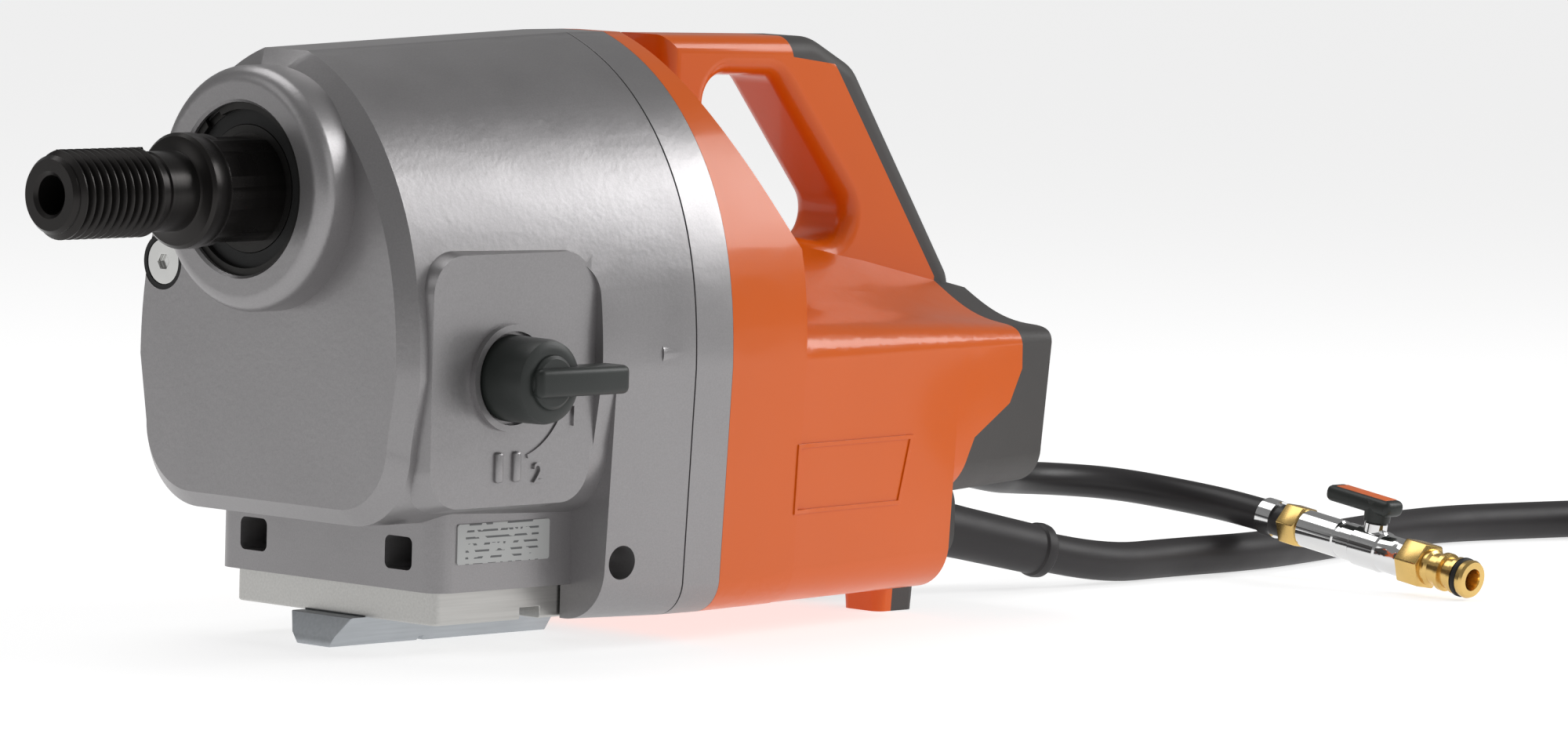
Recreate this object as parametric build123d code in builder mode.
"""Core drill motor: two-speed gear housing with a threaded spindle, water-cooled motor in a
handled cover, mounting plate and key, power cable with its plug, and water hose with a shut-off valve.

Frame: millimetres, +Z up. The origin is the centre of the mounting plate's underside.
The spindle points along -X, its axis runs parallel to X above the plate, and the speed knob
is on the -Y side. Stations are distances behind the spindle's end face, heights are measured
from the spindle axis, so every section sketch is drawn in (y, height) axes.
"""
from build123d import *
from math import acos, atan2, cos, degrees, hypot, pi, radians, sin, sqrt, tan
import os

os.makedirs("parts", exist_ok=True)

# ---------------------------------------------------------------- driving dimensions
# Mounting plate and key
plate_length = 98.0
plate_width = 104.6
plate_thickness = 12.3
plate_front = 141.0            # station of the plate's front edge
plate_slot_width = 10.0
plate_slot_depth = 4.4
axis_height = 154.6            # spindle axis above the plate's underside
key_length = 109.0
key_front = 131.0
key_height = 11.1
key_top_width = 32.0
key_foot_width = 17.0

# Casting and rings
wall = 5.0
front_face = 105.0             # station of the housing's flat front face
bevel = 6.0
housing_rear = 240.5           # joint between the gear housing and the bearing plate
ring_rear = 260.0              # joint between the bearing plate and the motor cover
front_half_width = 73.0
rear_half_width = 82.0
front_top = 49.5
rear_top = 54.5
waist = -64.0                  # height where the sides are widest
top_flat = 11.0
belly = -118.0                 # underside of the gear housing ahead of its rear flange
flange_front = 203.0
body_step = 0.4                # how far the body's underside reaches below the plate's
body_bottom = -axis_height - body_step
block_half_width = 58.0
block_front = 136.0
seam_width = 0.7               # groove round the joint of the gear housing and the bearing plate
seam_depth = 1.4
boss_radius = 44.0
boss_front = 89.5

# Spindle and its front bearing
thread_radius = 15.875
thread_length = 45.0
spindle_radius = 20.0
neck_radius = 14.6
collar_radius = 20.6
water_bore_radius = 7.0
rear_journal_radius = 12.5
bearing_outer_radius = 31.0
bearing_width = 12.0
bearing_front = 94.0
running_fit = 0.05
gap = 0.35                     # air between pieces that move past each other

# Gear train
fine_module = 1.5
coarse_module = 2.0
pinion_teeth = 12
first_wheel_teeth = 42
second_pinion_teeth = 14
second_wheel_teeth = 42
low_pinion_teeth = 16
low_wheel_teeth = 42
high_pinion_teeth = 27
high_wheel_teeth = 31
backlash = 0.50
layshaft_offset = 26.0         # sideways distance of the layshaft from the spindle
layshaft_radius = 8.0
second_shaft_radius = 7.0
shaft_front = 114.0
high_gear_front = 132.0
low_gear_front = 188.0
gear_width = 14.0
second_wheel_front = 212.0
first_wheel_front = 225.0
fine_gear_width = 10.0
dog_length = 5.0
dog_inner_radius = 24.5
dog_outer_radius = 30.0
dog_count = 6

# Speed change
knob_station = 152.9
knob_height = -64.2
knob_radius = 15.5
knob_top = 100.0               # how far the knob's face stands from the middle plane
lever_reach = 36.0
panel_half_width = 75.0
knob_ring_height = 2.5
knob_ring_radius = 19.2
shift_shaft_radius = 6.0
pin_throw = 8.0
pin_radius = 3.0
sleeve_rest = 168.0            # station of the dog sleeve's body in first gear
sleeve_length = 14.0
sleeve_outer_radius = 33.0
fork_thickness = 6.0
rail_radius = 5.0
rail_y = -44.0
rail_height = -89.0

# Motor
motor_height = -85.0
jacket_outer_radius = 49.0
jacket_wall = 4.0
jacket_front = 256.0
jacket_length = 124.0
stator_inner_radius = 27.0
core_length = 88.0
core_front = 276.0
air_gap = 0.8
winding_inset = 3.0            # step from the core's inner and outer radius to the winding's
winding_rounding = 3.0
rotor_shaft_radius = 7.5
rotor_bearing_radius = 17.5
rotor_bearing_width = 11.0

# Cover, handle and rear cover
cover_wall = 3.6
cover_rear = 457.0
cover_rear_half_width = 60.0
handle_half_width = 15.5
handle_rounding = 7.0
foot_station = 391.0
foot_length = 20.0
foot_width = 19.0
foot_offset = 25.5

# Cable, hose and valve
floor_height = -axis_height - key_height
cable_diameter = 15.5
sleeve_diameter = 19.5
hose_diameter = 13.0
valve_bore_radius = 4.0

# ---------------------------------------------------------------- planes
jacket_inner_radius = jacket_outer_radius - jacket_wall
nose_x = -(plate_front + plate_length / 2)
section_plane = Plane(origin=(nose_x, 0, axis_height), x_dir=(0, 1, 0), z_dir=(1, 0, 0))
side_plane = Plane(origin=(nose_x, 0, axis_height), x_dir=(1, 0, 0), z_dir=(0, -1, 0))
plan_plane = Plane(origin=(nose_x, 0, axis_height), x_dir=(1, 0, 0), z_dir=(0, 0, 1))


def across(station):
    """Plane across the machine at a station: sketches on it are (y, height)."""
    return section_plane.offset(station)


def beside(y):
    """Plane parallel to the middle plane at y: sketches on it are (station, height)."""
    return side_plane.offset(-y)


def level(height):
    """Horizontal plane at a height from the spindle axis: sketches on it are (station, y)."""
    return plan_plane.offset(height)


def save(piece, name):
    """Label one finished piece and write it as its own STEP file."""
    piece.part.label = name
    export_step(piece.part, f"parts/{name}.step")


# ---------------------------------------------------------------- shared shapes
def body_section(station, half_width, top, bottom, corner, flat=top_flat, arch=0.66, slope=0.35):
    """Body section: short flat top, arched shoulders, nearly straight sides, flat bottom."""
    foot_half = half_width - 4.0
    rise = top - waist
    shoulder = (flat + 0.72 * (half_width - flat), waist + arch * rise)
    with BuildSketch(across(station)) as section:
        with BuildLine():
            for side in (1, -1):
                Line((0, top), (side * flat, top))
                Spline(
                    (side * flat, top),
                    (side * shoulder[0], shoulder[1]),
                    (side * half_width, waist),
                    tangents=((side, -slope), (0, -1)),
                )
                Line((side * half_width, waist), (side * foot_half, bottom + corner))
                ThreePointArc(
                    (side * foot_half, bottom + corner),
                    (side * (foot_half - 0.293 * corner), bottom + 0.293 * corner),
                    (side * (foot_half - corner), bottom),
                )
                Line((side * (foot_half - corner), bottom), (0, bottom))
        make_face()
    return section.sketch


def tube(front, rear, outer, inner, centre=(0, 0), mode=Mode.ADD):
    """Ring or tube along X between two stations."""
    with BuildSketch(across(front)) as ring:
        with Locations(centre):
            Circle(outer)
            if inner:
                Circle(inner, mode=Mode.SUBTRACT)
    extrude(ring.sketch, amount=rear - front, mode=mode)


def rod(front, rear, radius, centre=(0, 0), mode=Mode.ADD):
    """Solid round bar along X between two stations."""
    tube(front, rear, radius, 0, centre, mode)


def gear(front, width, teeth, module, turn, centre=(0, 0), bore=0.0):
    """Involute spur gear along X with a tooth pointing along turn, added to the part in progress."""
    pitch = module * teeth / 2
    base = pitch * cos(radians(20))
    tip = pitch + module
    root = pitch - 1.2 * module
    start = max(base, root)
    pressure = radians(20)
    half_tooth = (pi * module / 2 - backlash / 2) / 2 / pitch + tan(pressure) - pressure

    def flank(radius):
        alpha = acos(min(1.0, base / radius))
        return half_tooth - (tan(alpha) - alpha)

    def point(radius, angle):
        return (centre[0] + radius * cos(angle), centre[1] + radius * sin(angle))

    radii = [start + (tip - start) * step / 3 for step in range(4)]
    pitch_angle = 2 * pi / teeth
    with BuildSketch(across(front)) as wheel:
        with BuildLine():
            for tooth in range(teeth):
                middle = radians(turn) + tooth * pitch_angle
                rising = [point(r, middle - flank(r)) for r in radii]
                falling = [point(r, middle + flank(r)) for r in reversed(radii)]
                foot = falling[-1]
                if root < start:
                    foot = point(root, middle + flank(start))
                    Line(point(root, middle - flank(start)), rising[0])
                    Line(falling[-1], foot)
                Spline(*rising)
                Line(rising[-1], falling[0])
                Spline(*falling)
                Line(foot, point(min(root, start), middle + pitch_angle - flank(start)))
        make_face()
        if bore:
            with Locations(centre):
                Circle(bore, mode=Mode.SUBTRACT)
    extrude(wheel.sketch, amount=width)


# ---------------------------------------------------------------- gear centres
def towards(start, end):
    """Direction from one centre to another, in degrees."""
    return degrees(atan2(end[1] - start[1], end[0] - start[0]))


spindle_axis = (0.0, 0.0)
motor_axis = (0.0, motor_height)
last_distance = coarse_module * (low_pinion_teeth + low_wheel_teeth) / 2
second_distance = fine_module * (second_pinion_teeth + second_wheel_teeth) / 2
first_distance = fine_module * (pinion_teeth + first_wheel_teeth) / 2
layshaft_axis = (layshaft_offset, -sqrt(last_distance**2 - layshaft_offset**2))
reach = hypot(layshaft_axis[0] - motor_axis[0], layshaft_axis[1] - motor_axis[1])
along = (first_distance**2 - second_distance**2 + reach**2) / (2 * reach)
aside = sqrt(first_distance**2 - along**2)
ux = (layshaft_axis[0] - motor_axis[0]) / reach
uz = (layshaft_axis[1] - motor_axis[1]) / reach
second_axis = (motor_axis[0] + along * ux + aside * uz, motor_axis[1] + along * uz - aside * ux)


def meshing_turn(teeth, own, other):
    """Turn that puts a gap of this gear opposite the other gear's tooth."""
    return towards(own, other) + 180 / teeth


jacket_rear = jacket_front + jacket_length
bearing_rear = bearing_front + bearing_width
bearing_race = 2.8


# ================================================================ gear housing
def outer_casting():
    """Outside of the gear housing: tapered barrel, rear flange, foot block and spindle boss."""
    share = (flange_front - front_face) / (housing_rear - front_face)
    mid_half = front_half_width + share * (rear_half_width - front_half_width)
    mid_top = front_top + share * (rear_top - front_top)
    face = body_section(front_face, front_half_width - bevel, front_top - bevel, belly + bevel, 24, 6)
    brow = body_section(front_face + bevel, front_half_width, front_top, belly, 28)
    loft([face, brow])
    loft([brow, body_section(flange_front, mid_half, mid_top, belly, 28)])
    flange = body_section(flange_front, mid_half, mid_top, body_bottom, 20)
    loft([flange, body_section(housing_rear, rear_half_width, rear_top, body_bottom, 14)])
    with BuildSketch(level(-axis_height + plate_thickness)) as block:
        with Locations(((block_front + flange_front + 12) / 2, 0)):
            RectangleRounded(flange_front - block_front + 12, 2 * block_half_width, 8)
    extrude(block.sketch, amount=belly + axis_height - plate_thickness + 22)
    rod(boss_front, front_face + 4, boss_radius)


def housing_cavity():
    """Gear room, open towards the bearing plate."""
    share = (flange_front - front_face) / (housing_rear - front_face)
    mid_half = front_half_width + share * (rear_half_width - front_half_width)
    mid_top = front_top + share * (rear_top - front_top)
    room_front = front_face + 11
    floor = -axis_height + plate_thickness + wall
    front_room = body_section(room_front, front_half_width - wall, front_top - wall, belly + wall, 26)
    middle_room = body_section(flange_front + 5, mid_half - wall, mid_top - wall, belly + wall, 26)
    loft([front_room, middle_room], mode=Mode.SUBTRACT)
    flange_room = body_section(flange_front + 4, mid_half - wall, mid_top - wall, floor, 34)
    rear_room = body_section(housing_rear, rear_half_width - wall, rear_top - wall, floor, 34)
    loft([flange_room, rear_room], mode=Mode.SUBTRACT)


screw_radius = 3.0
housing_screw_places = [(-43, 25), (43, 25), (-75, -58), (75, -58), (-69, -130), (69, -130)]
plate_bolt_radius = 4.0
plate_bolt_x = (152.0, 222.0)
plate_bolt_y = 38.0
key_screw_x = (160.0, 215.0)
key_screw_radius = 3.0
plug_place = (56.3, -30.1)
plug_radius = 8.3
plug_seal_radius = 10.2

with BuildPart() as gear_housing:
    outer_casting()
    housing_cavity()
    # front lip of the boss, rounded, and the bore that holds the bearing and its ring
    rod(boss_front, bearing_rear, bearing_outer_radius, mode=Mode.SUBTRACT)
    rod(bearing_rear, front_face + 14, bearing_outer_radius - 3.5, mode=Mode.SUBTRACT)
    rod(bearing_front - 2.1, bearing_front - 0.1, bearing_outer_radius + 1.6, mode=Mode.SUBTRACT)
    lip = gear_housing.edges().filter_by(GeomType.CIRCLE)
    lip = lip.filter_by(lambda edge: abs(edge.center().X - nose_x - boss_front) < 0.01)
    fillet(lip.sort_by(SortBy.RADIUS)[-1], 6)
    chamfer(gear_housing.edges().filter_by(GeomType.CIRCLE).filter_by(
        lambda edge: abs(edge.center().X - nose_x - boss_front) < 0.01), 1.0)
    # seats for the front ends of the layshaft and the second shaft
    for centre in (layshaft_axis, second_axis):
        rod(front_face + 5, front_face + 21, 14, centre)
        rod(front_face + 8, front_face + 21.5, 11, centre, mode=Mode.SUBTRACT)
    rod(front_face + 5, front_face + 19, 9, (rail_y, rail_height))
    rod(front_face + 8, front_face + 19.5, rail_radius, (rail_y, rail_height), mode=Mode.SUBTRACT)
    # flat panel round the speed knob, proud of the casting in front and sunk into it behind
    with BuildSketch(beside(-panel_half_width)):
        with Locations(((front_face + bevel + flange_front - 5) / 2, (-20 + belly + 8) / 2)):
            RectangleRounded(flange_front - 5 - front_face - bevel - 8, -20 - belly - 8, 14)
    extrude(amount=-12, taper=-12)
    with BuildSketch(beside(-panel_half_width)):
        with Locations(((front_face + bevel + flange_front - 5) / 2, (-24 + belly - 4) / 2)):
            RectangleRounded(flange_front - 5 - front_face - bevel - 4, -24 - belly + 4, 12)
    extrude(amount=30, mode=Mode.SUBTRACT)
    with BuildSketch(beside(-panel_half_width + wall + 10)):
        with Locations((knob_station, knob_height)):
            Circle(knob_ring_radius - 3)
    extrude(amount=-wall + 15)
    with BuildSketch(beside(-panel_half_width + 1)):
        with Locations((knob_station, knob_height)):
            Circle(knob_ring_radius)
            Circle(knob_ring_radius - 2.4, mode=Mode.SUBTRACT)
    extrude(amount=knob_ring_height + 1)
    with BuildSketch(beside(-panel_half_width - 20)):
        with Locations((knob_station, knob_height)):
            Circle(shift_shaft_radius + running_fit)
    extrude(amount=-60, mode=Mode.SUBTRACT)
    # underside: seat for the mounting plate, and pockets in the front of the block for its nuts
    with BuildSketch(level(-axis_height + plate_thickness)):
        with Locations(((plate_front + housing_rear + 30) / 2 - 1, 0)):
            Rectangle(housing_rear + 30 - plate_front, plate_width + 1.6)
    extrude(amount=-plate_thickness - 5, mode=Mode.SUBTRACT)
    for side in (1, -1):
        with BuildSketch(across(block_front - 5)):
            with Locations((side * plate_bolt_y, -129)):
                RectangleRounded(14, 12, 2.5)
        extrude(amount=24, mode=Mode.SUBTRACT)
        for x in plate_bolt_x:
            with BuildSketch(level(-axis_height + plate_thickness)):
                with Locations((x, side * plate_bolt_y)):
                    Circle(plate_bolt_radius)
            extrude(amount=16, mode=Mode.SUBTRACT)
        # through hole in the lower corner of the rear flange
        with BuildSketch(beside(-side * 90)):
            with Locations((211, -133.3)):
                Circle(6.2)
        extrude(amount=-side * 26, mode=Mode.SUBTRACT)
    # oil plug in the front face
    rod(front_face - 1, front_face + 2.5, plug_seal_radius, plug_place, mode=Mode.SUBTRACT)
    rod(front_face, front_face + 12, 5, plug_place, mode=Mode.SUBTRACT)
    # relief in the side wall for the tip circle of the first wheel
    rod(first_wheel_front - 2, housing_rear, fine_module * (first_wheel_teeth + 2) / 2 + 0.8, second_axis,
        mode=Mode.SUBTRACT)
    # tapped holes for the long screws that hold the bearing plate
    for place in housing_screw_places:
        rod(housing_rear - 16, housing_rear, screw_radius + 3.5, place)
        rod(housing_rear - 15, housing_rear, screw_radius, place, mode=Mode.SUBTRACT)
save(gear_housing, "gear_housing")

# ================================================================ bearing plate
with BuildPart() as bearing_plate:
    extrude(body_section(housing_rear, rear_half_width, rear_top, body_bottom, 14),
            amount=ring_rear - housing_rear)
    extrude(body_section(housing_rear + 14, rear_half_width - wall, rear_top - wall, body_bottom + wall, 12),
            amount=20, mode=Mode.SUBTRACT)
    with BuildPart(mode=Mode.PRIVATE) as seam:
        extrude(body_section(housing_rear, rear_half_width + 2, rear_top + 2, body_bottom - 2, 14),
                amount=seam_width)
        extrude(body_section(housing_rear, rear_half_width - seam_depth, rear_top - seam_depth,
                             body_bottom + seam_depth, 14), amount=seam_width, mode=Mode.SUBTRACT)
    add(seam.part, mode=Mode.SUBTRACT)
    # room behind the mounting plate, which reaches this far back only when the plate is longer
    with BuildSketch(level(-axis_height + plate_thickness)):
        with Locations((plate_front + plate_length / 2, 0)):
            Rectangle(plate_length + 2, plate_width + 1.6)
    extrude(amount=-plate_thickness - 5, mode=Mode.SUBTRACT)
    rod(housing_rear - 1, housing_rear + 14.5, 26, spindle_axis, mode=Mode.SUBTRACT)
    rod(housing_rear + 14, ring_rear - 1, 30, spindle_axis)
    rod(housing_rear + 12, ring_rear, 18, spindle_axis, mode=Mode.SUBTRACT)
    for centre in (layshaft_axis, second_axis):
        rod(housing_rear, housing_rear + 14, 11, centre, mode=Mode.SUBTRACT)
    rod(housing_rear, housing_rear + rotor_bearing_width + 1.5, rotor_bearing_radius, motor_axis,
        mode=Mode.SUBTRACT)
    rod(housing_rear, housing_rear + 15, rotor_bearing_radius - 3, motor_axis, mode=Mode.SUBTRACT)
    rod(housing_rear, housing_rear + 8, rail_radius, (rail_y, rail_height), mode=Mode.SUBTRACT)
    for place in housing_screw_places:
        rod(housing_rear + 10, ring_rear - 3, screw_radius + 3.5, place)
        rod(housing_rear - 1, ring_rear, screw_radius + 0.2, place, mode=Mode.SUBTRACT)
        rod(ring_rear - 3, ring_rear + 1, screw_radius + 2.2, place, mode=Mode.SUBTRACT)
save(bearing_plate, "bearing_plate")

# ================================================================ plate, key and their screws
plate_centre = plate_front + plate_length / 2
with BuildPart() as mounting_plate:
    with BuildSketch(level(-axis_height)):
        with Locations((plate_centre, 0)):
            Rectangle(plate_length, plate_width)
    extrude(amount=plate_thickness)
    fillet(mounting_plate.edges().filter_by(Axis.Z), 3)
    chamfer(mounting_plate.faces().sort_by(Axis.Z)[0].edges(), 0.6)
    with BuildSketch(level(-axis_height)):
        with Locations((188.5, 0)):
            Rectangle(plate_slot_width, plate_width + 2)
    extrude(amount=plate_slot_depth, mode=Mode.SUBTRACT)
    for x in plate_bolt_x:
        for side in (1, -1):
            with BuildSketch(level(-axis_height)):
                with Locations((x, side * plate_bolt_y)):
                    Circle(plate_bolt_radius + 0.3)
            extrude(amount=plate_thickness, mode=Mode.SUBTRACT)
            with BuildSketch(level(-axis_height)):
                with Locations((x, side * plate_bolt_y)):
                    Circle(7.0)
            extrude(amount=plate_bolt_radius * 2 + 0.5, mode=Mode.SUBTRACT)
    for x in key_screw_x:
        with BuildSketch(level(-axis_height)):
            with Locations((x, 0)):
                Circle(key_screw_radius)
        extrude(amount=plate_thickness, mode=Mode.SUBTRACT)
save(mounting_plate, "mounting_plate")

with BuildPart() as mounting_key:
    with BuildSketch(across(key_front)):
        with BuildLine():
            Polyline(
                (-key_top_width / 2, -axis_height),
                (key_top_width / 2, -axis_height),
                (key_foot_width / 2, floor_height),
                (-key_foot_width / 2, floor_height),
                close=True,
            )
        make_face()
    extrude(amount=key_length)
    nose = mounting_key.faces().sort_by(Axis.X)[0].edges()
    chamfer(nose.sort_by(Axis.Z)[-1], 4, 7)
    with BuildSketch(level(floor_height)):
        with Locations((176, 0)):
            Rectangle(2.5, key_top_width)
    extrude(amount=1.5, mode=Mode.SUBTRACT)
    for x in key_screw_x:
        with BuildSketch(level(floor_height)):
            with Locations((x, 0)):
                Circle(3.2)
        extrude(amount=key_height, mode=Mode.SUBTRACT)
        with BuildSketch(level(floor_height)):
            with Locations((x, 0)):
                Circle(5.4)
        extrude(amount=6.5, mode=Mode.SUBTRACT)
save(mounting_key, "mounting_key")

with BuildPart() as key_screws:
    for x in key_screw_x:
        with BuildSketch(level(floor_height + 1)):
            with Locations((x, 0)):
                Circle(5.2)
                RegularPolygon(2.5, 6, mode=Mode.SUBTRACT)
        extrude(amount=5.5)
        with BuildSketch(level(floor_height + 4)):
            with Locations((x, 0)):
                Circle(3.0)
        extrude(amount=key_height + 2)
save(key_screws, "key_screws")

with BuildPart() as plate_bolts:
    for x in plate_bolt_x:
        for side in (1, -1):
            with BuildSketch(level(-axis_height + 0.5)):
                with Locations((x, side * plate_bolt_y)):
                    Circle(6.5)
                    RegularPolygon(3.4, 6, mode=Mode.SUBTRACT)
            extrude(amount=plate_bolt_radius * 2)
            with BuildSketch(level(-axis_height + 5)):
                with Locations((x, side * plate_bolt_y)):
                    Circle(plate_bolt_radius)
            extrude(amount=plate_thickness + 10)
save(plate_bolts, "plate_bolts")

with BuildPart() as housing_screws:
    for place in housing_screw_places:
        rod(ring_rear - 3, ring_rear - 0.3, screw_radius + 2, place)
        rod(housing_rear - 14, ring_rear - 3, screw_radius, place)
save(housing_screws, "housing_screws")

with BuildPart() as oil_plug:
    rod(front_face + 0.5, front_face + 2.5, plug_radius, plug_place)
    rod(front_face + 2.5, front_face + 11, 4.9, plug_place)
    with BuildSketch(across(front_face)):
        with Locations(plug_place):
            RegularPolygon(2.9, 6)
    extrude(amount=2.2, mode=Mode.SUBTRACT)
save(oil_plug, "oil_plug")

with BuildPart() as oil_plug_seal:
    tube(front_face + 0.2, front_face + 2.4, plug_seal_radius - 0.1, plug_radius + 0.1, plug_place)
save(oil_plug_seal, "oil_plug_seal")

with BuildPart() as rating_label:
    with BuildSketch(beside(-block_half_width)):
        with Locations((168.5, -125)):
            RectangleRounded(46, 14.5, 1)
    extrude(amount=0.5)
save(rating_label, "rating_label")

# ================================================================ spindle and its bearings
spline_count = 6
spline_radius = 22.4
spline_width = 7.0
spline_gap = 2.944             # arc left free between a shaft spline and the sleeve's teeth
sleeve_tooth = 2 * pi * spindle_radius / spline_count - spline_width - spline_gap


def spline_teeth(front, rear, inner, outer, width, turn=0.0):
    """Splines along X, added to the part in progress."""
    with BuildSketch(across(front)) as splines:
        with PolarLocations((inner + outer) / 2, spline_count, start_angle=turn):
            Rectangle(outer - inner, width)
    extrude(splines.sketch, amount=rear - front)


with BuildPart() as spindle:
    rod(0, thread_length + 2, thread_radius)
    rod(thread_length + 2, thread_length + 14, neck_radius)
    rod(thread_length + 14, thread_length + 22, collar_radius)
    rod(thread_length + 22, housing_rear - 9, spindle_radius)
    rod(housing_rear - 9, housing_rear + 14, rear_journal_radius)
    spline_teeth(high_gear_front + gear_width + 3, low_gear_front - 1, spindle_radius - 1,
                 spline_radius, spline_width)
    chamfer(spindle.faces().sort_by(Axis.X)[0].edges(), 2.0)
    for side in (1, -1):
        with BuildSketch(across(thread_length + 27)):
            with Locations((0, side * (18 + 5))):
                Rectangle(60, 10)
        extrude(amount=22, mode=Mode.SUBTRACT)
    rod(-1, housing_rear + 15, water_bore_radius, mode=Mode.SUBTRACT)
save(spindle, "spindle")

with BuildPart() as spindle_bearing_outer:
    tube(bearing_front, bearing_rear, bearing_outer_radius, bearing_outer_radius - bearing_race)
    tube(housing_rear, housing_rear + 12, 26, 22.5)
save(spindle_bearing_outer, "spindle_bearing_outer")

with BuildPart() as spindle_bearing_inner:
    tube(bearing_front, bearing_rear, spindle_radius + bearing_race, spindle_radius)
    tube(housing_rear, housing_rear + 12, rear_journal_radius + 3.5, rear_journal_radius)
save(spindle_bearing_inner, "spindle_bearing_inner")

with BuildPart() as spindle_bearing_balls:
    with Locations(across((bearing_front + bearing_rear) / 2)):
        with PolarLocations((bearing_outer_radius + spindle_radius) / 2, 18):
            Sphere((bearing_outer_radius - spindle_radius) / 2 - bearing_race - running_fit)
    with Locations(across(housing_rear + 6)):
        with PolarLocations((22.5 + rear_journal_radius + 3.5) / 2, 11):
            Sphere((22.5 - rear_journal_radius - 3.5) / 2 - running_fit)
save(spindle_bearing_balls, "spindle_bearing_balls")

with BuildPart() as bearing_seal:
    tube(bearing_front + 0.3, bearing_front + 1.3, bearing_outer_radius - bearing_race - 0.02,
         spindle_radius + bearing_race + 0.25)
save(bearing_seal, "bearing_seal")

with BuildPart() as snap_ring:
    tube(bearing_front - 1.9, bearing_front - 0.15, bearing_outer_radius + 1.4, bearing_outer_radius - 2.6)
    with BuildSketch(across(bearing_front - 3)):
        with Locations((18, 26)):
            Rectangle(8, 18, rotation=-35)
    extrude(amount=5, mode=Mode.SUBTRACT)
save(snap_ring, "snap_ring")

# ================================================================ gears
dog_ring_width = 10.0


def dogs(front, length, turn):
    """Ring of face dogs, added to the part in progress."""
    with BuildSketch(across(front)) as ring:
        with PolarLocations((dog_inner_radius + dog_outer_radius) / 2, dog_count, start_angle=turn):
            Rectangle(dog_outer_radius - dog_inner_radius, dog_ring_width)
    extrude(ring.sketch, amount=length)


with BuildPart() as low_wheel:
    gear(low_gear_front, gear_width, low_wheel_teeth, coarse_module,
         meshing_turn(low_wheel_teeth, spindle_axis, layshaft_axis), bore=spindle_radius + running_fit)
    dogs(low_gear_front - dog_length, dog_length, 0)
save(low_wheel, "low_wheel")

with BuildPart() as high_wheel:
    gear(high_gear_front, gear_width, high_wheel_teeth, coarse_module,
         meshing_turn(high_wheel_teeth, spindle_axis, layshaft_axis), bore=spindle_radius + running_fit)
    dogs(high_gear_front + gear_width, dog_length, 0)
save(high_wheel, "high_wheel")

with BuildPart() as dog_sleeve:
    with BuildSketch(across(sleeve_rest)):
        Circle(sleeve_outer_radius)
        Circle(spline_radius + 1.0, mode=Mode.SUBTRACT)
    extrude(amount=sleeve_length)
    spline_teeth(sleeve_rest, sleeve_rest + sleeve_length, spindle_radius - 1, spline_radius + 1.6,
                 sleeve_tooth, 180 / spline_count)
    rod(sleeve_rest, sleeve_rest + sleeve_length, spindle_radius + running_fit, mode=Mode.SUBTRACT)
    tube(sleeve_rest + 3.7, sleeve_rest + sleeve_length - 3.7, 50, sleeve_outer_radius - 4,
         mode=Mode.SUBTRACT)
    dogs(sleeve_rest + sleeve_length - 0.5, dog_length, 180 / dog_count)
    dogs(sleeve_rest - 4, 4.5, 180 / dog_count)
save(dog_sleeve, "dog_sleeve")

with BuildPart() as layshaft:
    rod(shaft_front, housing_rear + 12, layshaft_radius, layshaft_axis)
save(layshaft, "layshaft")

with BuildPart() as layshaft_gears:
    gear(low_gear_front, gear_width, low_pinion_teeth, coarse_module,
         towards(layshaft_axis, spindle_axis), layshaft_axis, layshaft_radius)
    gear(high_gear_front, gear_width - 1, high_pinion_teeth, coarse_module,
         towards(layshaft_axis, spindle_axis), layshaft_axis, layshaft_radius)
    gear(second_wheel_front, fine_gear_width, second_wheel_teeth, fine_module,
         meshing_turn(second_wheel_teeth, layshaft_axis, second_axis), layshaft_axis, layshaft_radius)
save(layshaft_gears, "layshaft_gears")

with BuildPart() as second_shaft:
    rod(shaft_front, housing_rear + 12, second_shaft_radius, second_axis)
save(second_shaft, "second_shaft")

with BuildPart() as second_shaft_gears:
    gear(second_wheel_front, fine_gear_width, second_pinion_teeth, fine_module,
         towards(second_axis, layshaft_axis), second_axis, second_shaft_radius)
    gear(first_wheel_front, fine_gear_width, first_wheel_teeth, fine_module,
         meshing_turn(first_wheel_teeth, second_axis, motor_axis), second_axis, second_shaft_radius)
save(second_shaft_gears, "second_shaft_gears")

with BuildPart() as shaft_bushes:
    for centre, radius in ((layshaft_axis, layshaft_radius), (second_axis, second_shaft_radius)):
        tube(front_face + 9.5, front_face + 20, 11, radius + running_fit, centre)
        tube(housing_rear + 1, housing_rear + 13, 11, radius + running_fit, centre)
save(shaft_bushes, "shaft_bushes")

# ================================================================ speed change
shift_y = rail_y - 2.0
with BuildPart() as shift_knob:
    with BuildSketch(beside(-panel_half_width - gap)):
        with Locations((knob_station, knob_height)):
            Circle(knob_radius)
    extrude(amount=knob_top - panel_half_width - gap)
    fillet(shift_knob.faces().sort_by(Axis.Y)[0].edges(), 2.5)
    with BuildSketch(beside(-knob_top + 13)):
        with Locations((knob_station + lever_reach / 2, knob_height)):
            RectangleRounded(lever_reach, 10, 2)
    extrude(amount=14)
    with BuildSketch(beside(-panel_half_width)):
        with Locations((knob_station, knob_height)):
            Circle(shift_shaft_radius)
    extrude(amount=knob_top - panel_half_width - 8, mode=Mode.SUBTRACT)
save(shift_knob, "shift_knob")

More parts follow.
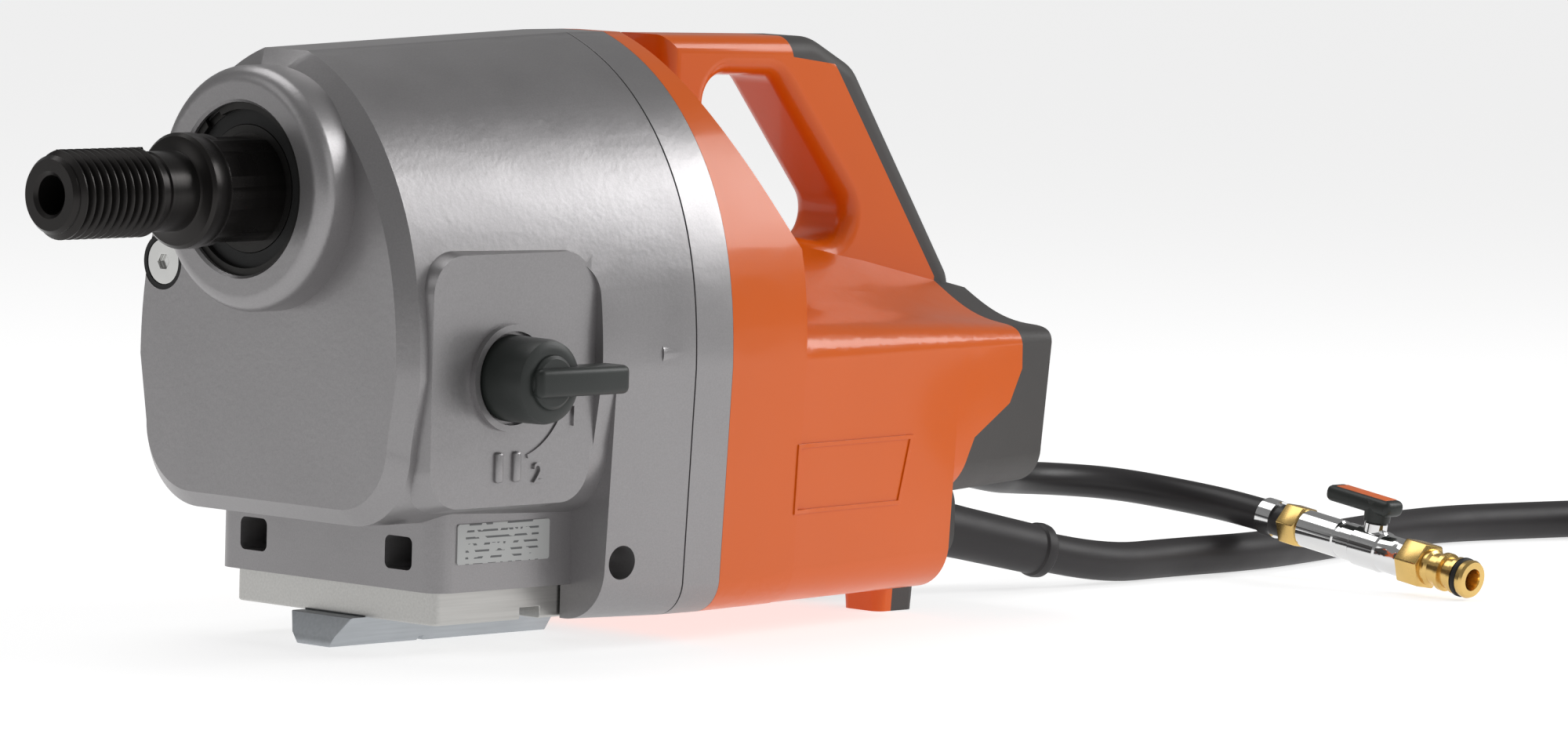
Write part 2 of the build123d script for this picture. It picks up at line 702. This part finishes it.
pin_station = knob_station + pin_throw * sin(radians(45))
pin_height = knob_height - pin_throw * cos(radians(45))
with BuildPart() as shift_shaft:
    with BuildSketch(beside(-knob_top + 8)):
        with Locations((knob_station, knob_height)):
            Circle(shift_shaft_radius)
    extrude(amount=-(knob_top - 8 - 58))
    with BuildSketch(beside(-58)):
        with Locations((knob_station, knob_height)):
            Circle(pin_throw + pin_radius + 1)
    extrude(amount=-4)
    with BuildSketch(beside(-54)):
        with Locations((pin_station, pin_height)):
            Circle(pin_radius)
    extrude(amount=-10)
save(shift_shaft, "shift_shaft")

fork_front = sleeve_rest + (sleeve_length - fork_thickness) / 2
with BuildPart() as shift_fork:
    with BuildSketch(across(fork_front)):
        Circle(sleeve_outer_radius + 5)
        Circle(sleeve_outer_radius - 4 + gap, mode=Mode.SUBTRACT)
        with Locations((-2, 30)):
            Rectangle(90, 60, mode=Mode.SUBTRACT)
        with Locations((30, -10)):
            Rectangle(44, 60, mode=Mode.SUBTRACT)
        with BuildLine():
            Polyline((-33, -8), (-40, -8), (-52, -60), (-52, rail_height), (-36, rail_height),
                     (-36, -60), (-22, -34), (-30, -20), close=True)
        make_face()
        Circle(sleeve_outer_radius - 4 + gap, mode=Mode.SUBTRACT)
    extrude(amount=fork_thickness)
    rod(fork_front - 8, fork_front + fork_thickness + 8, 9, (rail_y, rail_height))
    with BuildSketch(beside(shift_y - 6.5)):
        with Locations(((pin_station - 9 + fork_front + 2) / 2, pin_height - 1)):
            Rectangle(fork_front + 2 - pin_station + 9, 15)
    extrude(amount=-9)
    with BuildSketch(beside(shift_y - 8)):
        with Locations((pin_station, pin_height - 1)):
            SlotOverall(15 - 2, 2 * pin_radius + 2 * gap, rotation=90)
    extrude(amount=-14, mode=Mode.SUBTRACT)
    rod(fork_front - 20, fork_front + 30, rail_radius + running_fit, (rail_y, rail_height),
        mode=Mode.SUBTRACT)
save(shift_fork, "shift_fork")

with BuildPart() as shift_rail:
    rod(front_face + 8.5, housing_rear + 7, rail_radius, (rail_y, rail_height))
save(shift_rail, "shift_rail")

# ================================================================ motor
second_bearing_front = jacket_rear + 3

with BuildPart() as cooling_jacket:
    tube(housing_rear + 14, jacket_rear, jacket_outer_radius, jacket_inner_radius, motor_axis)
    for station in (jacket_front + 12, jacket_front + 84):
        tube(station, station + 4, jacket_outer_radius + 2.5, jacket_outer_radius - 1, motor_axis)
save(cooling_jacket, "cooling_jacket")

with BuildPart() as stator_core:
    tube(core_front, core_front + core_length, jacket_inner_radius, stator_inner_radius, motor_axis)
save(stator_core, "stator_core")

with BuildPart() as stator_windings:
    for front in (core_front - 15, core_front + core_length):
        tube(front, front + 15, jacket_inner_radius - winding_inset, stator_inner_radius + winding_inset,
             motor_axis)
    winding_wall = jacket_inner_radius - stator_inner_radius - 2 * winding_inset
    fillet(stator_windings.edges().filter_by(GeomType.CIRCLE), min(winding_rounding, 0.4 * winding_wall))
save(stator_windings, "stator_windings")

with BuildPart() as rotor_core:
    tube(core_front, core_front + core_length, stator_inner_radius - air_gap, 12, motor_axis)
save(rotor_core, "rotor_core")

with BuildPart() as rotor_shaft:
    gear(first_wheel_front, fine_gear_width, pinion_teeth, fine_module,
         towards(motor_axis, second_axis), motor_axis)
    rod(first_wheel_front + fine_gear_width, core_front - 17, rotor_shaft_radius, motor_axis)
    rod(core_front - 17, core_front + core_length + 5, 12, motor_axis)
    rod(core_front + core_length + 5, second_bearing_front + rotor_bearing_width + 2, rotor_shaft_radius,
        motor_axis)
save(rotor_shaft, "rotor_shaft")

rotor_bearing_fronts = (housing_rear + 1.5, second_bearing_front)
rotor_race = 2.6
with BuildPart() as rotor_bearing_outer:
    for front in rotor_bearing_fronts:
        tube(front, front + rotor_bearing_width - 0.5, rotor_bearing_radius,
             rotor_bearing_radius - rotor_race, motor_axis)
save(rotor_bearing_outer, "rotor_bearing_outer")

with BuildPart() as rotor_bearing_inner:
    for front in rotor_bearing_fronts:
        tube(front, front + rotor_bearing_width - 0.5, rotor_shaft_radius + rotor_race,
             rotor_shaft_radius, motor_axis)
save(rotor_bearing_inner, "rotor_bearing_inner")

with BuildPart() as rotor_bearing_balls:
    for front in rotor_bearing_fronts:
        with Locations(across(front + rotor_bearing_width / 2 - 0.25)):
            with Locations(motor_axis):
                with PolarLocations((rotor_bearing_radius + rotor_shaft_radius) / 2, 8):
                    Sphere((rotor_bearing_radius - rotor_shaft_radius) / 2 - rotor_race - running_fit)
save(rotor_bearing_balls, "rotor_bearing_balls")

with BuildPart() as motor_end_shield:
    tube(jacket_rear, jacket_rear + 3, jacket_outer_radius, 11, motor_axis)
    tube(jacket_rear + 3, jacket_rear + 3 + rotor_bearing_width, rotor_bearing_radius + 4,
         rotor_bearing_radius, motor_axis)
save(motor_end_shield, "motor_end_shield")

with BuildPart() as terminal_block:
    with BuildSketch(across(jacket_rear + 22)):
        with Locations((0, motor_height - 6)):
            RectangleRounded(68, 26, 2)
    extrude(amount=12)
    for y in (-30, 30):
        rod(jacket_rear + 3, jacket_rear + 22, 3, (y, motor_height - 6))
    for y in (-15, -5, 5, 15):
        rod(jacket_rear + 34, jacket_rear + 36, 2.6, (y, motor_height - 6))
save(terminal_block, "terminal_block")

# ================================================================ covers with the handle
lower_step = 398.0             # the lower body ends here, the rear cover overhangs it
rear_floor = -120.0
handle_front = 290.0
collar_rear = 302.0            # the wide front of the cover reaches back to here at its sides
saddle_front = 286.0
saddle_flat = 14.0
saddle_arch = 0.36             # how far the shoulders stand above the waist, as a share
saddle_slope = 0.55


def collar_body(inset):
    """Wide front of the motor cover, whose rear edge sweeps down and back from the top."""
    with BuildPart(mode=Mode.PRIVATE) as collar:
        front = body_section(ring_rear - (1 if inset else 0), rear_half_width - inset, rear_top - inset,
                             body_bottom + inset, 14 - inset / 2)
        rear = body_section(collar_rear - inset, rear_half_width - 3 - inset, rear_top - 1 - inset,
                            body_bottom + inset, 16 - inset)
        loft([front, rear])
        with BuildSketch(beside(0)) as behind:
            with BuildLine():
                Spline((268 - inset, 62), (274 - inset, 29), (284 - inset, 6), (297 - inset, -16),
                       (collar_rear + 8 - inset, -33), tangents=((0.05, -1), (0.8, -1)))
                Polyline((collar_rear + 8 - inset, -33), (collar_rear + 60, -33), (collar_rear + 60, 62),
                         (268 - inset, 62))
            make_face()
        extrude(behind.sketch, amount=rear_half_width + 5, both=True, mode=Mode.SUBTRACT)
    return collar.part


def saddle_bodies(inset, mode):
    """Body behind the collar, with shoulders that fall away from the handle's foot."""
    saddle = body_section(saddle_front - inset, rear_half_width - 2.5 - inset, -13 - inset,
                          body_bottom + inset, 16 - inset, saddle_flat, saddle_arch, saddle_slope)
    step = body_section(lower_step - inset, rear_half_width - 14 - inset, -33 - inset, body_bottom + inset,
                        18 - inset, saddle_flat, saddle_arch, saddle_slope)
    loft([saddle, step], mode=mode)
    ledge = body_section(lower_step - inset - 0.5 * (inset > 0), rear_half_width - 14 - inset, -33 - inset,
                         rear_floor + inset, 14 - inset, saddle_flat, saddle_arch, saddle_slope)
    tail = body_section(cover_rear - inset, cover_rear_half_width - inset, -46 - inset,
                        rear_floor + 2 + inset, 14 - inset, saddle_flat, saddle_arch, saddle_slope)
    loft([ledge, tail], mode=mode)


def cover_envelope():
    """Outside of the motor cover and the rear cover together, with the handle."""
    add(collar_body(0))
    saddle_bodies(0, Mode.ADD)
    with BuildSketch(across(lower_step)) as outlet:
        with Locations((0, -135)):
            RectangleRounded(34, 34, 12)
    extrude(outlet.sketch, amount=54)
    for side in (1, -1):
        with BuildSketch(level(floor_height)) as foot:
            with Locations((foot_station + foot_length / 2, side * foot_offset)):
                RectangleRounded(foot_length, foot_width, 4)
        extrude(foot.sketch, amount=45, taper=-4)


def handle_profile(inset=0.0):
    """Side view of the D-handle: top bar, slanted grip and the opening for the hand."""
    with BuildSketch(beside(0), mode=Mode.PRIVATE) as outer:
        with BuildLine():
            FilletPolyline((handle_front, 53), (370, 51.5), (393, 40), (450, -42), (446, -64), (300, -64),
                           radius=(22, 16, 12, 10), close=False)
            Polyline((300, -64), (handle_front, -64), (handle_front, 53))
        make_face()
        offset(amount=-inset)
    with BuildSketch(beside(0), mode=Mode.PRIVATE) as window:
        with BuildLine():
            FilletPolyline((302, 38), (349, 37), (405, -30), (344, -21), radius=10.5, close=True)
        make_face()
        offset(amount=inset)
    return outer.sketch - window.sketch


def cover_cavity():
    """Room inside the covers for the motor."""
    add(collar_body(cover_wall), mode=Mode.SUBTRACT)
    saddle_bodies(cover_wall, Mode.SUBTRACT)


def behind_seam():
    """Side view of everything behind the line where the rear cover meets the motor cover."""
    with BuildSketch(beside(0), mode=Mode.PRIVATE) as rear:
        with BuildLine():
            Polyline((350, 70), (357, 44), (380, 41), (411, -3), (438, -41), (437, -60), (439, -73),
                     (433, -86), (412, -98), (402, -119.5), (lower_step, -119.5), (lower_step, -170),
                     (480, -170), (480, 70), close=True)
        make_face()
    return rear.sketch


def cover_shell():
    """Both covers as one shell, added to the part in progress."""
    cover_envelope()
    with BuildPart(mode=Mode.PRIVATE) as handle:
        extrude(handle_profile(), amount=handle_half_width, both=True)
        sides = handle.faces().filter_by(Axis.Y)
        fillet(sides.edges(), handle_rounding)
    add(handle.part)
    cover_cavity()
    extrude(handle_profile(cover_wall + 1), amount=handle_half_width - 6, both=True, mode=Mode.SUBTRACT)


def aimed(origin, target, distance=0.0):
    """Plane facing along the line from origin to target, some way along it."""
    direction = (Vector(target) - Vector(origin)).normalized()
    return Plane(origin=Vector(origin) + direction * distance, z_dir=direction)


def turned(plane, start, end, radius, inner=0.0, mode=Mode.ADD):
    """Ring or bar along the plane's normal, added to the part in progress."""
    with BuildSketch(plane.offset(start)) as ring:
        Circle(radius)
        if inner:
            Circle(inner, mode=Mode.SUBTRACT)
    extrude(ring.sketch, amount=end - start, mode=mode)


def nut(plane, start, end, across_flats, inner=0.0):
    """Hexagon along the plane's normal, added to the part in progress."""
    with BuildSketch(plane.offset(start)) as hexagon:
        RegularPolygon(across_flats / 2, 6, major_radius=False)
        if inner:
            Circle(inner, mode=Mode.SUBTRACT)
    extrude(hexagon.sketch, amount=end - start)


hose_exit = (457.0, 19.0, -113.1)
cable_exit_height = -138.5
sleeve_start = (nose_x + 452, 0.0, axis_height + cable_exit_height)
sleeve_end = (322.0, -9.0, 3.1)
spigot_radius = sleeve_diameter / 2 + 1.2
hose_start = (nose_x + hose_exit[0], hose_exit[1], axis_height + hose_exit[2])
hose_second = (296.0, 22.0, 36.0)
socket_radius = hose_diameter / 2 + 0.6
sleeve_line = aimed(sleeve_start, sleeve_end)
hose_line = aimed(hose_start, hose_second)

with BuildPart() as motor_cover:
    cover_shell()
    extrude(behind_seam(), amount=120, both=True, mode=Mode.SUBTRACT)
save(motor_cover, "motor_cover")

with BuildPart() as rear_cover:
    cover_shell()
    extrude(behind_seam(), amount=120, both=True, mode=Mode.INTERSECT)
    rod(lower_step - 1, cover_rear, cable_diameter / 2 + 1, (0, cable_exit_height), mode=Mode.SUBTRACT)
    turned(sleeve_line, -12, 16, spigot_radius, mode=Mode.SUBTRACT)
    turned(hose_line, -14, 8, socket_radius, mode=Mode.SUBTRACT)
save(rear_cover, "rear_cover")

# ================================================================ cable, coil and connector
# Routes are in the frame's own millimetres: x behind the plate's centre, z above its underside.
floor_z = -key_height
cable_radius = cable_diameter / 2
cable_lie = floor_z + cable_radius
cable_first_run = 0.485         # first run as a share of the sleeve, in line with it
cable_points = [
    sleeve_end,
    tuple(end + (end - start) * cable_first_run for start, end in zip(sleeve_start, sleeve_end)),
    (398.0, -9.5, cable_lie),
    (446.0, -11.5, cable_lie),
    (500.0, 0.2, cable_lie),
    (552.0, 14.0, cable_lie),
    (600.0, 21.5, cable_lie),
    (645.0, 12.5, cable_lie),
    (690.0, 1.2, cable_lie),
    (741.4, -15.5, cable_lie),
]
coil_centre = (710.0, -112.0)
coil_outer_turn = 101.5
coil_inner_turn = 70.5
coil_layers = 2
coil_height = cable_diameter * coil_layers + 0.4
tail_points = [
    (710.0, coil_centre[1] - 93.5, floor_z + 24.0),
    (668.0, coil_centre[1] - 94.6, floor_z + 24.0),
    (628.0, coil_centre[1] - 99.0, floor_z + 24.0),
    (594.0, coil_centre[1] - 105.0, floor_z + 24.0),
]
connector_radius = 24.0
connector_length = 96.0


def corner_radii(points):
    """Largest tangent arcs that the two runs at each corner allow."""
    radii = []
    for before, corner, after in zip(points, points[1:], points[2:]):
        run_in = Vector(corner) - Vector(before)
        run_out = Vector(after) - Vector(corner)
        half_turn = radians(run_in.get_angle(run_out)) / 2
        radii.append(0.45 * min(run_in.length, run_out.length) / tan(half_turn))
    return radii


def cord_tube(points, radius, name):
    """Round tube along straight runs joined by tangent arcs, added to the part in progress."""
    radii = corner_radii(points)
    print(name, "radii", [round(r) for r in radii])
    with BuildLine() as route:
        FilletPolyline(*points, radius=radii)
    path = route.wires()[0]
    with BuildSketch(Plane(origin=points[0], z_dir=path % 0)) as section:
        Circle(radius)
    sweep(section.sketch, path=path)
    print(name, "length", round(path.length, 1), "section times length", round(pi * radius**2 * path.length))


sleeve_length_free = (Vector(sleeve_end) - Vector(sleeve_start)).length
with BuildPart() as strain_relief:
    with BuildSketch(sleeve_line):
        Circle(spigot_radius)
    with BuildSketch(sleeve_line.offset(sleeve_length_free - 5)):
        Circle(sleeve_diameter / 2)
    loft()
    turned(sleeve_line, sleeve_length_free - 5, sleeve_length_free, sleeve_diameter / 2 + 1)
    turned(sleeve_line, -12, 0, spigot_radius)
save(strain_relief, "strain_relief")

with BuildPart() as cable_coil:
    with BuildSketch(Plane.XY.offset(floor_z)):
        with Locations(coil_centre):
            Circle(coil_outer_turn + cable_radius)
            Circle(coil_inner_turn - cable_radius, mode=Mode.SUBTRACT)
    extrude(amount=coil_height)
    fillet(cable_coil.edges(), 6)
save(cable_coil, "cable_coil")

with BuildPart() as power_cable:
    cord_tube(cable_points, cable_radius, "power_cable")
    add(cable_coil.part, mode=Mode.SUBTRACT)
save(power_cable, "power_cable")

with BuildPart() as cable_tail:
    cord_tube(tail_points, cable_radius, "cable_tail")
    add(cable_coil.part, mode=Mode.SUBTRACT)
save(cable_tail, "cable_tail")

connector_line = aimed(tail_points[-2], tail_points[-1], 0)
tail_end = (Vector(tail_points[-1]) - Vector(tail_points[-2])).length
plug_line = connector_line.offset(tail_end)
with BuildPart() as power_connector:
    with BuildSketch(plug_line):
        Circle(cable_radius + 3)
    with BuildSketch(plug_line.offset(22)):
        Circle(connector_radius - 4)
    loft()
    turned(plug_line, 22, 64, connector_radius - 4)
    turned(plug_line, 64, connector_length, connector_radius - 3)
    turned(plug_line, 72, connector_length + 1, connector_radius - 6, mode=Mode.SUBTRACT)
save(power_connector, "power_connector")

with BuildPart() as connector_ring:
    turned(plug_line, 66, 90, connector_radius, connector_radius - 3)
save(connector_ring, "connector_ring")

with BuildPart() as connector_pins:
    turned(plug_line, 72, 74, connector_radius - 6)
    with BuildSketch(plug_line.offset(74)):
        with PolarLocations(10, 4):
            Circle(2.6)
    extrude(amount=18)
save(connector_pins, "connector_pins")

# ================================================================ water hose and valve
hose_end = (434.4, -38.0, 11.2)
valve_tip = (434.0, -134.0, -3.0)
hose_points = [
    hose_start,
    hose_second,
    (335.0, 31.1, 28.6),
    (358.5, 40.5, 26.2),
    (383.8, 40.2, 24.4),
    (407.1, 30.3, 22.4),
    (424.9, 12.3, 18.6),
    (434.5, -13.78, 14.783),
    hose_end,
]
with BuildPart() as water_hose:
    cord_tube(hose_points, hose_diameter / 2, "water_hose")
save(water_hose, "water_hose")

with BuildPart() as hose_socket:
    turned(hose_line, -14, 0, socket_radius)
save(hose_socket, "hose_socket")

hose_tail = aimed(hose_points[-2], hose_end, (Vector(hose_end) - Vector(hose_points[-2])).length)
with BuildPart() as hose_clamp:
    turned(hose_tail, -11, -4, hose_diameter / 2 + 1.0, hose_diameter / 2)
    with BuildSketch(hose_tail.offset(-10.5)) as ear:
        with Locations((0, hose_diameter / 2 + 2)):
            Rectangle(6, 4)
    extrude(amount=6)
save(hose_clamp, "hose_clamp")

valve_line = aimed(hose_end, valve_tip)
valve_up = (valve_line.z_dir.cross(Vector(1, 0, 0))).normalized()
if valve_up.Z < 0:
    valve_up = valve_up * -1
valve_length = (Vector(valve_tip) - Vector(hose_end)).length
fitting_end = 10.0
ball_station = 45.0
ball_radius_valve = 5.6
outlet_station = 64.0
valve_radius = 7.5

with BuildPart() as hose_fitting:
    nut(valve_line, 1, fitting_end, 15.5)
    turned(valve_line, 0, 1, 6.3)
save(hose_fitting, "hose_fitting")

with BuildPart() as valve_body:
    turned(valve_line, fitting_end, outlet_station, valve_radius)
    turned(valve_line, ball_station - 7, ball_station + 7, valve_radius + 0.7)
    with BuildSketch(Plane(origin=valve_line.offset(ball_station).origin, z_dir=valve_up)) as neck:
        Circle(4.6)
    extrude(neck.sketch, amount=11)
    turned(valve_line, fitting_end, outlet_station, valve_bore_radius, mode=Mode.SUBTRACT)
    with Locations(valve_line.offset(ball_station)):
        Sphere(ball_radius_valve + running_fit, mode=Mode.SUBTRACT)
    with BuildSketch(Plane(origin=valve_line.offset(ball_station).origin, z_dir=valve_up)) as stem_hole:
        Circle(2.2 + running_fit)
    extrude(stem_hole.sketch, amount=20, mode=Mode.SUBTRACT)
save(valve_body, "valve_body")

with BuildPart() as valve_ball:
    with Locations(valve_line.offset(ball_station)):
        Sphere(ball_radius_valve)
    turned(valve_line, ball_station - 8, ball_station + 8, 3.0, mode=Mode.SUBTRACT)
save(valve_ball, "valve_ball")

stem_plane = Plane(origin=valve_line.offset(ball_station).origin, x_dir=valve_line.z_dir, z_dir=valve_up)
with BuildPart() as valve_stem:
    turned(stem_plane, ball_radius_valve - 0.6, 19, 2.2)
    with Locations(valve_line.offset(ball_station)):
        Sphere(ball_radius_valve, mode=Mode.SUBTRACT)
save(valve_stem, "valve_stem")

lever_reach_valve = 30.0
with BuildPart() as valve_lever:
    turned(stem_plane, 11.5, 16, 4.4, 2.2)
    with BuildSketch(stem_plane.offset(15)):
        with Locations((-lever_reach_valve / 2 + 4, 0)):
            SlotOverall(lever_reach_valve + 4, 10)
        Circle(2.2, mode=Mode.SUBTRACT)
    extrude(amount=6)
    with BuildSketch(stem_plane.offset(19.8)):
        with Locations((-lever_reach_valve / 2 + 4, 0)):
            SlotOverall(lever_reach_valve, 6.4)
    extrude(amount=2, mode=Mode.SUBTRACT)
save(valve_lever, "valve_lever")

with BuildPart() as lever_inlay:
    with BuildSketch(stem_plane.offset(19.8)):
        with Locations((-lever_reach_valve / 2 + 4, 0)):
            SlotOverall(lever_reach_valve, 6.4)
    extrude(amount=0.9)
save(lever_inlay, "lever_inlay")

with BuildPart() as quick_nipple:
    nut(valve_line, outlet_station, outlet_station + 11, 17.0, 4.0)
    turned(valve_line, outlet_station + 11, valve_length, 6.2, 4.0)
    turned(valve_line, outlet_station + 18, outlet_station + 20.5, 7.6, 4.0)
    turned(valve_line, valve_length - 8, valve_length - 6, 7.4, 4.0)
    turned(valve_line, valve_length - 3.4, valve_length, 7.6, 4.0)
save(quick_nipple, "quick_nipple")

with BuildPart() as nipple_seal:
    turned(valve_line, valve_length - 5.9, valve_length - 3.5, 7.9, 6.2)
save(nipple_seal, "nipple_seal")
